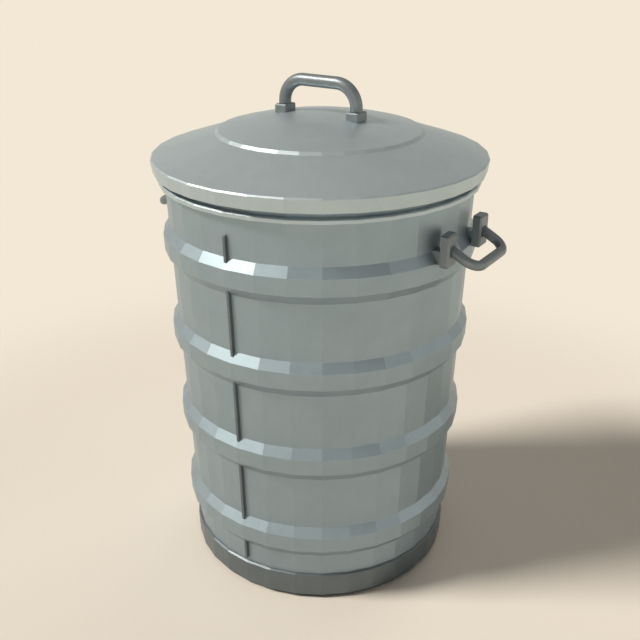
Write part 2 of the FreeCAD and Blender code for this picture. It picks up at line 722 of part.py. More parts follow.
def make_lid_shell(screw_holes):
    """Lid sheet: hemmed skirt, cone, raised step and shallow dome."""
    thick = "Sizes.sheet_thickness"
    hem_top = f"({SKIRT_FOOT} + Sizes.hem_size)"
    hem_inner = "(Sizes.skirt_foot_radius - Sizes.hem_size)"
    outside = faceted("lid_outside", [
        ("(Sizes.skirt_foot_radius - Sizes.sheet_thickness)", SKIRT_FOOT),
        (skirt_radius("Sizes.sheet_thickness"), f"({SKIRT_FOOT} + Sizes.sheet_thickness)"),
        ("Sizes.lid_radius", SKIRT_TOP),
    ] + lid_top_rings("0"))
    below = f"({SKIRT_FOOT} - Sizes.cut_margin)"
    inside = faceted("lid_inside", [
        (f"({hem_inner} + Sizes.sheet_thickness + Sizes.cut_margin)", below),
        (f"({hem_inner} + Sizes.sheet_thickness)", f"({SKIRT_FOOT} + Sizes.fold_rise / 5)"),
        (hem_inner, f"({SKIRT_FOOT} + Sizes.sheet_thickness)"),
        (hem_inner, f"({hem_top} - Sizes.fold_rise)"),
        (skirt_radius("Sizes.hem_size", thick), hem_top),
    ] + lid_under_rings(thick))
    tunnel_foot = f"({SKIRT_FOOT} + {thick})"
    tunnel_top = f"({hem_top} - Sizes.fold_rise - {thick})"
    tunnel = faceted("hem_tunnel", [
        (skirt_radius(thick, f"{thick} + Sizes.fold_rise"), tunnel_foot),
        (skirt_radius("Sizes.hem_size", thick), f"({tunnel_foot} + Sizes.fold_rise)"),
        (skirt_radius("Sizes.hem_size", thick), hem_top),
    ])
    tunnel_core = faceted("hem_tunnel_core", [
        (f"({hem_inner} + {thick})", below),
        (f"({hem_inner} + {thick})", f"({tunnel_top} - Sizes.fold_rise / 5)"),
        (skirt_radius("Sizes.hem_size", f"{thick} + Sizes.hem_slot"), tunnel_top),
        (skirt_radius("Sizes.hem_size", f"{thick} + Sizes.hem_slot"),
         f"({hem_top} + Sizes.cut_margin)"),
    ])
    hem_space = without("hem_space", tunnel, tunnel_core)
    return without("lid_shell", outside, inside, hem_space, *screw_holes)


def leg_placement(side, height):
    """Upright placement on one leg of the lid's handle, at a height."""
    return FreeCAD.Placement(FreeCAD.Vector(side * size(LEG_DISTANCE), 0, size(height)),
                             FreeCAD.Rotation())


UNDER_LID_LEVEL = dome(f"({LEG_DISTANCE} + Sizes.lid_washer_diameter / 2)",
                       "-Sizes.sheet_thickness - Sizes.fit_gap")
LID_WASHER_FACE = f"({UNDER_LID_LEVEL} - Sizes.lid_washer_thickness)"
LID_SCREW_TOP = f"({LID_BAR_FOOT} + Sizes.lid_screw_depth)"


def lid_screw_hole(name, side, end):
    """Clearance hole on a lid screw's axis, from below the washer to a height."""
    start = f"({LID_WASHER_FACE} - Sizes.cut_margin)"
    return cylinder(name, SCREW_HOLE, f"({end} - {start})", leg_placement(side, start))


def make_boss(name, side):
    """Bevelled block that seats on the dome and holds one leg of the handle."""
    body = doc.addObject("PartDesign::Body", f"{name}_block")
    outline = sketch_on(body, "XZ_Plane", f"{name}_outline")
    sunk = f"({BOSS_FOOT} - Sizes.boss_height / 2)"
    half = "Sizes.boss_length / 2"
    add_outline(outline, [(f"-{half}", sunk), (half, sunk), (half, BOSS_TOP), (f"-{half}", BOSS_TOP)])
    block = pad(body, f"{name}_pad", outline, "Sizes.boss_width")
    foot = size(sunk)
    chamfer(body, block, "Sizes.boss_bevel", lambda point: point.z > foot + TINY)
    body.Placement = FreeCAD.Placement(FreeCAD.Vector(side * size(LEG_DISTANCE), 0, 0),
                                       FreeCAD.Rotation())
    room = faceted(f"{name}_room", [("Sizes.lid_radius", f"({BOSS_FOOT} - 2 * Sizes.boss_height)")]
                   + lid_top_rings("Sizes.fit_gap")[FROM_DOME_EDGE])
    socket = cylinder(f"{name}_socket", "(Sizes.lid_bar_diameter + 2 * Sizes.fit_gap)",
                      "(Sizes.boss_socket * 2)",
                      leg_placement(side, f"({BOSS_TOP} - Sizes.boss_socket)"))
    return without(name, body, room, socket, lid_screw_hole(f"{name}_hole", side, BOSS_TOP))


def make_lid_bar():
    """Round bar handle of the lid, drilled up from its feet for the screws."""
    body = bent_bar("lid_bar_bent", ("XZ_Plane", "XY_Plane"), LEG_DISTANCE, LID_BAR_HEIGHT,
                    "Sizes.lid_bar_corner", "Sizes.lid_bar_diameter")
    body.Placement.Base = FreeCAD.Vector(0, 0, size(LID_BAR_FOOT))
    holes = [lid_screw_hole(f"lid_bar_hole_{number}", side, f"({LID_SCREW_TOP} + Sizes.fit_gap)")
             for number, side in enumerate((-1, 1))]
    return without("lid_handle_bar", body, *holes)


def make_lid_screw(name, side):
    """Hexagon screw from under the lid up into the handle's leg."""
    start = f"({LID_WASHER_FACE} - Sizes.fit_gap)"
    shank = cylinder(f"{name}_shank", "Sizes.screw_diameter", f"({LID_SCREW_TOP} - {start})",
                     leg_placement(side, start))
    head = hexagon_head(f"{name}_head", leg_placement(side, f"({start} - Sizes.screw_head_height)"))
    return fused(name, [shank, head])


def make_lid_washer(name, side):
    """Washer under the lid whose upper face follows the dome."""
    disc = cylinder(f"{name}_disc", "Sizes.lid_washer_diameter",
                    "(Sizes.lid_washer_thickness + Sizes.dome_rise)",
                    leg_placement(side, LID_WASHER_FACE))
    room = faceted(f"{name}_room",
                   lid_under_rings("(Sizes.sheet_thickness + Sizes.fit_gap)")[FROM_STEP_FOOT])
    fitted = shared(f"{name}_fitted", disc, room)
    return without(name, fitted, lid_screw_hole(f"{name}_hole", side, DOME_TOP))


def make_lid():
    """All pieces of the lid."""
    sides = {"left": -1, "right": 1}
    holes = [lid_screw_hole(f"lid_hole_{name}", side, DOME_TOP) for name, side in sides.items()]
    pieces = {"lid_shell": make_lid_shell(holes)}
    wire_radius = skirt_radius("Sizes.hem_size / 2", "Sizes.hem_size / 2")
    pieces["lid_hem_wire"] = make_wire(
        "lid_hem_wire", wire_radius, f"({SKIRT_FOOT} + (Sizes.hem_size - Sizes.fold_rise) / 2)",
        "Sizes.hem_wire_size")
    for name, side in sides.items():
        pieces[f"lid_{name}_boss"] = make_boss(f"lid_{name}_boss", side)
    pieces["lid_handle_bar"] = make_lid_bar()
    pieces["lid_handle_screws"] = group(
        "lid_handle_screws", [make_lid_screw(f"lid_{name}_screw", side)
                              for name, side in sides.items()])
    pieces["lid_handle_washers"] = group(
        "lid_handle_washers", [make_lid_washer(f"lid_{name}_washer", side)
                               for name, side in sides.items()])
    return pieces


def make_can():
    """All pieces of the can and its two side handles."""
    pieces = {}
    wall_holes = []
    lug_room = faceted("lug_room", wall_rings("Sizes.fit_gap")[NEAR_LUGS])
    washer_room = faceted("washer_room",
                          wall_rings("-Sizes.sheet_thickness - Sizes.fit_gap")[NEAR_LUGS])
    for side_name, angle in (("right", 0.0), ("left", 180.0)):
        handle, holes = make_side_handle(side_name, angle, lug_room, washer_room)
        pieces.update(handle)
        wall_holes += holes
    pieces["body_shell"] = make_body_shell(wall_holes)
    wire_radius = "(Sizes.rim_radius - Sizes.roll_height / 2)"
    pieces["rim_wire"] = make_wire(
        "rim_wire", wire_radius, "(Sizes.can_height - (Sizes.roll_height - Sizes.fold_rise) / 2)",
        "Sizes.rim_wire_size")
    pieces["rim_hoop"] = make_rim_hoop()
    pieces["bottom_pan"] = make_bottom_pan()
    pieces["base_ring"] = make_base_ring()
    ribs = int(size("Sizes.rib_count"))
    for number in range(ribs + 1):
        strip = make_seam_strip(number, ribs)
        pieces[strip.Name] = strip
    return pieces


def check_and_export(pieces):
    """Stop on any failed object, then write each piece to its own file."""
    doc.recompute()
    for thing in doc.Objects:
        if "Invalid" in thing.State or "Error" in thing.State:
            raise RuntimeError(f"{thing.Name} failed: {thing.State}")
    os.makedirs("parts", exist_ok=True)
    for name, piece in pieces.items():
        piece.Label = name
        shape = piece.Shape
        if shape.isNull() or not shape.isValid() or not shape.Solids:
            raise RuntimeError(f"{name} has no valid solid")
        shape.exportStep(f"parts/{name}.step")
        print(f"{name}: {len(shape.Solids)} solid(s), {shape.Volume / 1000:.1f} cm3")


check_and_export({**make_can(), **make_lid()})
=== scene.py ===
"""Galvanised steel trash can with its lift-off lid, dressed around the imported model.

The wall, the rim hoop, the base ring, the seam strips, the lid and the bar handles
are rebuilt here with rolled edges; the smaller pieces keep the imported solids.
Sizes are metres, +Z is up and the origin is the middle of the can's foot.
"""
from __future__ import annotations

import json
import logging
import math
from dataclasses import dataclass
from enum import Enum
from typing import Any, Iterable, Sequence

import bmesh
import bpy
from mathutils import Matrix, Vector


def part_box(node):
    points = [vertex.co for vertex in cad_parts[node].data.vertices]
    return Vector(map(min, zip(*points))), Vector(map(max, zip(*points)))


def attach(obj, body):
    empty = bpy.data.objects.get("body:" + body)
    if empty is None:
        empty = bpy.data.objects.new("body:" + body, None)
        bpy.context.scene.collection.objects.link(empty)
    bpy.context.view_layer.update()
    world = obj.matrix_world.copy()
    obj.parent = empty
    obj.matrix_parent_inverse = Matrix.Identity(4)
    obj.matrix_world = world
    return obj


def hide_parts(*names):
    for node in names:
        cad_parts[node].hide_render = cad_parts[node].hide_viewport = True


log = logging.getLogger("trash_can")

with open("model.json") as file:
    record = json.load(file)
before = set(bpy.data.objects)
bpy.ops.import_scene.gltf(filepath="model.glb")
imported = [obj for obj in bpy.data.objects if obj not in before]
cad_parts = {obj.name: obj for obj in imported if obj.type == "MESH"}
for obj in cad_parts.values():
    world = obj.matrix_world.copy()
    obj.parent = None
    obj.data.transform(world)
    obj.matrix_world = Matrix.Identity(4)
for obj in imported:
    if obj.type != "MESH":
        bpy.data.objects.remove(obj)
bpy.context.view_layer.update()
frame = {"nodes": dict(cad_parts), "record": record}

MM = 0.001
SIDES = 32                          # flats round every folded piece
FOLD_TURN = 5.0                     # degrees between two flats from which their edge is rounded
ROUNDING_SEGMENTS = 2               # faces across each rounded edge
LAMP_DISTANCE = 3.0                 # where a lamp is drawn; its light doesn't change with it
SLOTS = {row["node"]: row["material_slot"] for row in frame["record"]["subparts"]}

Ring = tuple[float, float]          # corner radius and height
Row = Sequence[bmesh.types.BMVert]  # corners in order round a form
Settings = dict[str, Any]


class Body(Enum):
    """Bodies that pieces ride on."""

    CAN = "can"
    LID = "lid"


class Side(Enum):
    """Side of the can that a carrying handle stands on."""

    RIGHT = 0.0
    LEFT = math.pi

    @property
    def word(self) -> str:
        """Side's name as the nodes spell it."""
        return self.name.lower()


# ------------------------------------------------------------------ materials
STAIN_START, STAIN_FULL = 0.38, 0.72    # levels of the patches where the stain comes in
PATCH_LOW, PATCH_HIGH = 0.3, 0.7        # levels that the patches mostly keep between
RUN_STRETCH = 0.06                      # scale along Z that draws noise out into upright runs
RUBBED_MATCH = 0.75                     # agreement of rounded and true normals on a worn edge
RELIEF_STRENGTH = 0.5


def linear(hex_colour: str) -> tuple[float, float, float, float]:
    """Turn an sRGB hex colour into the linear colour that shaders use.

    Args:
        hex_colour: Six hex digits, such as "8f9694".

    Returns:
        Linear red, green, blue and an alpha of 1.
    """
    channels = [int(hex_colour[i:i + 2], 16) / 255 for i in (0, 2, 4)]
    bent = [c / 12.92 if c <= 0.04045 else ((c + 0.055) / 1.055) ** 2.4 for c in channels]
    return (bent[0], bent[1], bent[2], 1.0)


def add_node(owner: bpy.types.Material | bpy.types.World, kind: str,
             settings: Settings | None = None,
             links: dict[str, bpy.types.NodeSocket] | None = None) -> bpy.types.Node:
    """Add a shader node with its settings and incoming links.

    Args:
        owner: Material or world that gets the node.
        kind: Blender's type name of the node.
        settings: Attribute names, or input names, with their values.
        links: Input names with the sockets that feed them.

    Returns:
        The new node.
    """
    tree = owner.node_tree
    node = tree.nodes.new(kind)
    for name, value in (settings or {}).items():
        if hasattr(node, name):
            setattr(node, name, value)
        else:
            node.inputs[name].default_value = value
    for name, socket in (links or {}).items():
        tree.links.new(socket, node.inputs[name])
    return node


def add_ramp(owner: bpy.types.Material | bpy.types.World, level: bpy.types.NodeSocket,
             *stops: tuple[float, str]) -> bpy.types.Node:
    """Add a colour ramp between two stops.

    Args:
        owner: Material or world that gets the node.
        level: Socket with the level that picks the colour.
        stops: Level and sRGB hex colour of the first and the last stop.

    Returns:
        The new node.
    """
    ramp = add_node(owner, "ShaderNodeValToRGB", links={"Fac": level})
    for element, (position, colour) in zip(ramp.color_ramp.elements, stops):
        element.position = position
        element.color = linear(colour)
    return ramp


def per_metre(size_mm: float) -> float:
    """Texture scale at which one cell or wave is a given size in millimetres."""
    return 1.0 / (size_mm * MM)


@dataclass(frozen=True)
class MetalFinish:
    """Bare or coated steel: uneven colour and polish, crystals, runs and a fine relief.

    Attributes:
        name: Material's name.
        colour: Main colour, sRGB hex.
        stain: Colour of the duller patches, sRGB hex.
        metallic: Share of the surface that reflects as metal.
        roughness: Blur of the reflections on the main colour.
        roughness_swing: How far the roughness strays either way.
        patch_mm: Size of the patches.
        crystal_mm: Size of the crystals or pits that catch the light differently.
        crystal_swing: How far a crystal's brightness strays either way.
        run_mm: Width of the upright runs left by draining or handling.
        run_swing: How far a run's brightness strays either way.
        grain_mm: Size of the fine relief.
        relief_mm: Height of the fine relief.
        wear: How much paler the metal gets where its edges are rubbed, from 0 to 1.
        wear_mm: Width of the rubbed edge.
    """

    name: str
    colour: str
    stain: str
    metallic: float
    roughness: float
    roughness_swing: float = 0.03
    patch_mm: float = 70.0
    crystal_mm: float = 11.0
    crystal_swing: float = 0.015
    run_mm: float = 9.0
    run_swing: float = 0.012
    grain_mm: float = 1.2
    relief_mm: float = 0.01
    wear: float = 0.0
    wear_mm: float = 0.7

    def build(self) -> bpy.types.Material:
        """Make the material.

        Returns:
            A node material with one Principled shader.
        """
        material = bpy.data.materials.new(self.name)
        material.use_nodes = True
        material.diffuse_color = linear(self.colour)
        material.node_tree.nodes.clear()
        links = material.node_tree.links
        output = add_node(material, "ShaderNodeOutputMaterial")
        shader = add_node(material, "ShaderNodeBsdfPrincipled", {"Metallic": self.metallic})
        links.new(shader.outputs["BSDF"], output.inputs["Surface"])
        place = add_node(material, "ShaderNodeTexCoord").outputs["Object"]
        noise = add_node(material, "ShaderNodeTexNoise", {
            "Scale": per_metre(self.patch_mm), "Detail": 4.0, "Roughness": 0.6}, {"Vector": place})
        patches = noise.outputs["Fac"]
        crystals = self.crystals(material, place)
        colour = self.stained(material, patches)
        colour = self.shaded(material, colour, crystals, self.crystal_swing)
        colour = self.shaded(material, colour, self.runs(material, place), self.run_swing)
        if self.wear > 0:
            colour = self.rubbed(material, colour)
        links.new(colour, shader.inputs["Base Color"])
        links.new(self.polish(material, patches, crystals), shader.inputs["Roughness"])
        links.new(self.relief(material, place), shader.inputs["Normal"])
        return material

    def crystals(self, material: bpy.types.Material,
                 place: bpy.types.NodeSocket) -> bpy.types.NodeSocket:
        """Random level, 0 to 1, that stays the same over each crystal.

        Args:
            material: Material that holds the nodes.
            place: Socket with the object's own coordinates.

        Returns:
            Socket with the level.
        """
        cells = add_node(material, "ShaderNodeTexVoronoi", {"Scale": per_metre(self.crystal_mm)},
                         {"Vector": place})
        parts = add_node(material, "ShaderNodeSeparateColor",
                         links={"Color": cells.outputs["Color"]})
        return parts.outputs["Red"]

    def runs(self, material: bpy.types.Material,
             place: bpy.types.NodeSocket) -> bpy.types.NodeSocket:
        """Level, 0 to 1, of long upright streaks.

        Args:
            material: Material that holds the nodes.
            place: Socket with the object's own coordinates.

        Returns:
            Socket with the level.
        """
        drawn_out = add_node(material, "ShaderNodeMapping", {"Scale": (1.0, 1.0, RUN_STRETCH)},
                             {"Vector": place})
        noise = add_node(material, "ShaderNodeTexNoise", {
            "Scale": per_metre(self.run_mm), "Detail": 3.0},
            {"Vector": drawn_out.outputs["Vector"]})
        return noise.outputs["Fac"]

    def stained(self, material: bpy.types.Material,
                share: bpy.types.NodeSocket) -> bpy.types.NodeSocket:
        """Blend the main colour and the stain.

        Args:
            material: Material that holds the nodes.
            share: Socket with the share of the stain, before its contrast is set.

        Returns:
            Socket with the colour.
        """
        ramp = add_ramp(material, share, (STAIN_START, self.colour), (STAIN_FULL, self.stain))
        return ramp.outputs["Color"]

    def shaded(self, material: bpy.types.Material, colour: bpy.types.NodeSocket,
               level: bpy.types.NodeSocket, swing: float) -> bpy.types.NodeSocket:
        """Lighten and darken a colour by a level.

        Args:
            material: Material that holds the nodes.
            colour: Socket with the colour.
            level: Socket with the level, 0 to 1.
            swing: How far the brightness strays either way.

        Returns:
            Socket with the new colour.
        """
        factor = add_node(material, "ShaderNodeMapRange", {
            "To Min": 1.0 - swing, "To Max": 1.0 + swing}, {"Value": level})
        tinted = add_node(material, "ShaderNodeHueSaturation", links={
            "Value": factor.outputs["Result"], "Color": colour})
        return tinted.outputs["Color"]

    def rubbed(self, material: bpy.types.Material,
               colour: bpy.types.NodeSocket) -> bpy.types.NodeSocket:
        """Make a colour paler along edges, where the rounded normal leaves the true one.

        Args:
            material: Material that holds the nodes.
            colour: Socket with the colour.

        Returns:
            Socket with the new colour.
        """
        rounded = add_node(material, "ShaderNodeBevel", {"samples": 4, "Radius": self.wear_mm * MM})
        true = add_node(material, "ShaderNodeNewGeometry")
        match = add_node(material, "ShaderNodeVectorMath", {"operation": "DOT_PRODUCT"})
        material.node_tree.links.new(rounded.outputs["Normal"], match.inputs[0])
        material.node_tree.links.new(true.outputs["Normal"], match.inputs[1])
        factor = add_node(material, "ShaderNodeMapRange", {
            "From Min": 1.0, "From Max": RUBBED_MATCH, "To Min": 1.0, "To Max": 1.0 + self.wear},
            {"Value": match.outputs["Value"]})
        paler = add_node(material, "ShaderNodeHueSaturation", links={
            "Value": factor.outputs["Result"], "Color": colour})
        return paler.outputs["Color"]

    def polish(self, material: bpy.types.Material, patches: bpy.types.NodeSocket,
               crystals: bpy.types.NodeSocket) -> bpy.types.NodeSocket:
        """Roughness that strays with the patches and, by half as much, the crystals.

        Args:
            material: Material that holds the nodes.
            patches: Socket with the level of the patches.
            crystals: Socket with the level of the crystals.

        Returns:
            Socket with the roughness.
        """
        low, high = self.roughness - self.roughness_swing, self.roughness + self.roughness_swing
        broad = add_node(material, "ShaderNodeMapRange", {
            "From Min": PATCH_LOW, "From Max": PATCH_HIGH, "To Min": low, "To Max": high},
            {"Value": patches})
        fine = add_node(material, "ShaderNodeMapRange", {
            "To Min": -self.roughness_swing / 2, "To Max": self.roughness_swing / 2},
            {"Value": crystals})
        total = add_node(material, "ShaderNodeMath", {"operation": "ADD"})
        material.node_tree.links.new(broad.outputs["Result"], total.inputs[0])
        material.node_tree.links.new(fine.outputs["Result"], total.inputs[1])
        return total.outputs["Value"]

    def relief(self, material: bpy.types.Material,
               place: bpy.types.NodeSocket) -> bpy.types.NodeSocket:
        """Normal with the fine relief of the coating.

        Args:
            material: Material that holds the nodes.
            place: Socket with the object's own coordinates.

        Returns:
            Socket with the normal.
        """
        grain = add_node(material, "ShaderNodeTexNoise", {
            "Scale": per_metre(self.grain_mm), "Detail": 2.0}, {"Vector": place})
        bump = add_node(material, "ShaderNodeBump", {
            "Distance": self.relief_mm * MM, "Strength": RELIEF_STRENGTH},
            {"Height": grain.outputs["Fac"]})
        return bump.outputs["Normal"]


# Zinc from the hot dip, weathered dull: a medium bluish grey whose crystals and
# drain runs have faded to faint changes of tone, with blurred reflections.
WEATHERED_ZINC = MetalFinish("weathered_hot_dip_zinc", "9aaab3", "95a5ae", metallic=0.75,
                             roughness=0.46)
# The same dip on the lid and the hoop, less weathered: paler and a little smoother.
PALE_ZINC = MetalFinish("pale_hot_dip_zinc", "bac8ce", "b5c3c9", metallic=0.75, roughness=0.44)
# Strip steel galvanised and then darkened: bluish dark grey, rubbed paler on its edges.
DARKENED_STRIP = MetalFinish("darkened_strip_steel", "707a7f", "6a7378", metallic=0.7,
                             roughness=0.4, patch_mm=40.0, crystal_mm=7.0, wear=0.12)
# Forged and blackened bar stock, worn back to a mid grey and rubbed paler on its edges.
BLACKENED_BAR = MetalFinish("blackened_bar_steel", "828b90", "7a8388", metallic=0.6,
                            roughness=0.42, patch_mm=18.0, crystal_mm=4.0, run_mm=4.0,
                            grain_mm=0.8, relief_mm=0.02, wear=0.2, wear_mm=0.9)
# Zinc plate on turned screws: bright, slightly yellowed and fairly sharp.
ZINC_PLATE = MetalFinish("zinc_plated_screws", "c3c6c2", "b5b8b0", metallic=1.0,
                         roughness=0.28, patch_mm=6.0, crystal_mm=2.0, run_mm=1.5,
                         grain_mm=0.5, relief_mm=0.005)
# Drawn wire inside the rolled edges: plain steel, drawn lengthwise.
DRAWN_WIRE = MetalFinish("drawn_wire", "8a8c8c", "7c7e7e", metallic=1.0, roughness=0.35,
                         crystal_mm=2.0, run_mm=1.5)


# --------------------------------------------------------------- mesh building
def new_piece(name: str, mesh: bmesh.types.BMesh, finish: bpy.types.Material, body: Body,
              nodes: Iterable[str]) -> bpy.types.Object:
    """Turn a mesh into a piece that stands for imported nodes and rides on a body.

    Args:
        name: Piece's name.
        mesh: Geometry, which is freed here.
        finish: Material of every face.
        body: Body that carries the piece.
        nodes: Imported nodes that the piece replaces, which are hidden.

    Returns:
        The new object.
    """
    bmesh.ops.recalc_face_normals(mesh, faces=mesh.faces)
    data = bpy.data.meshes.new(name)
    mesh.to_mesh(data)
    mesh.free()
    data.materials.append(finish)
    data.polygons.foreach_set("use_smooth", [True] * len(data.polygons))
    piece = bpy.data.objects.new(name, data)
    bpy.context.scene.collection.objects.link(piece)
    names = list(nodes)
    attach(piece, body.value)
    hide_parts(*names)
    log.info("%s: %d faces, on %s", name, len(data.polygons), body.value)
    return piece


def round_edges(piece: bpy.types.Object, width: float, angle: float = FOLD_TURN) -> None:
    """Round the edges of a piece that turn by more than an angle.

    Args:
        piece: Object that gets the modifier.
        width: Width of the rounding, in metres.
        angle: Least turn between two faces, in degrees.
    """
    bevel = piece.modifiers.new("rolled_edges", "BEVEL")
    bevel.width = width
    bevel.segments = ROUNDING_SEGMENTS
    bevel.limit_method = "ANGLE"
    bevel.angle_limit = math.radians(angle)
    bevel.use_clamp_overlap = True
    bevel.harden_normals = True


def join_rows(mesh: bmesh.types.BMesh, pairs: Iterable[tuple[Row, Row]]) -> None:
    """Fill each pair of closed rows of corners with a band of four-sided faces.

    Args:
        mesh: Mesh that gets the faces.
        pairs: Rows with as many corners each, in the same order round.
    """
    for lower, upper in pairs:
        for corner in range(len(lower)):
            following = (corner + 1) % len(lower)
            mesh.faces.new((lower[corner], lower[following], upper[following], upper[corner]))


def folded_form(rings: Sequence[Ring], capped: bool) -> bmesh.types.BMesh:
    """Closed form with flats all round, through a loop of rings.

    Args:
        rings: Corner radius and height of each ring, in order round the section.
        capped: Whether the first and last rings are closed by flat caps; otherwise
            the last ring joins the first.

    Returns:
        The mesh.
    """
    mesh = bmesh.new()
    rows = []
    for radius, height in rings:
        row = []
        for corner in range(SIDES):
            turn = math.tau * corner / SIDES
            row.append(mesh.verts.new((radius * math.cos(turn), radius * math.sin(turn), height)))
        rows.append(row)
    pairs = list(zip(rows, rows[1:]))
    if not capped:
        pairs.append((rows[-1], rows[0]))
    join_rows(mesh, pairs)
    if capped:
        mesh.faces.new(rows[0])
        mesh.faces.new(rows[-1])
    return mesh


def bow_path(half_span: float, rise: float, corner: float, steps: int) -> list[Vector]:
    """Points of a bow: up one leg, round a corner, along the grip and down again.

    Args:
        half_span: Half the distance between the legs.
        rise: Height of the grip over the legs' feet.
        corner: Radius of the two corners.
        steps: Points round each corner.

    Returns:
        Points in the X-Z plane, from the left foot to the right one.
    """
    half = [Vector((-half_span, 0, 0))]
    for step in range(steps + 1):
        turn = math.pi / 2 * step / steps
        half.append(Vector((-half_span + corner * (1 - math.cos(turn)), 0,
                            rise - corner * (1 - math.sin(turn)))))
    return half + [Vector((-point.x, 0, point.z)) for point in reversed(half)]


def swept_tube(path: Sequence[Vector], radius: float, sides: int,
               end_bevel: float) -> bmesh.types.BMesh:
    """Round bar along a path in the X-Z plane, with bevelled ends.

    Args:
        path: Points of the centreline.
        radius: Radius of the bar.
        sides: Faces round the bar.
        end_bevel: Bevel where the bar is cut off.

    Returns:
        The mesh.
    """
    mesh = bmesh.new()
    tangents = [(path[min(i + 1, len(path) - 1)] - path[max(i - 1, 0)]).normalized()
                for i in range(len(path))]
    stations = [(path[0], tangents[0], radius - end_bevel)]
    stations.append((path[0] + tangents[0] * end_bevel, tangents[0], radius))
    stations += [(point, tangent, radius) for point, tangent in zip(path[1:-1], tangents[1:-1])]
    stations.append((path[-1] - tangents[-1] * end_bevel, tangents[-1], radius))
    stations.append((path[-1], tangents[-1], radius - end_bevel))
    across = Vector((0, 1, 0))
    rows = []
    for centre, tangent, reach in stations:
        upward = tangent.cross(across)
        row = []
        for side in range(sides):
            turn = math.tau * side / sides
            row.append(mesh.verts.new(
                centre + (across * math.cos(turn) + upward * math.sin(turn)) * reach))
        rows.append(row)
    join_rows(mesh, zip(rows, rows[1:]))
    mesh.faces.new(rows[0])
    mesh.faces.new(rows[-1])
    return mesh


def prism(outline: Sequence[tuple[float, float]], width: float) -> bmesh.types.BMesh:
    """Straight prism on an outline in the Y-Z plane, centred across X.

    Args:
        outline: Y and Z of each corner, in order.
        width: Width across X.

    Returns:
        The mesh.
    """
    mesh = bmesh.new()
    ends = [[mesh.verts.new((x, y, z)) for y, z in outline] for x in (-width / 2, width / 2)]
    for end in ends:
        mesh.faces.new(end)
    join_rows(mesh, [(ends[0], ends[1])])
    return mesh


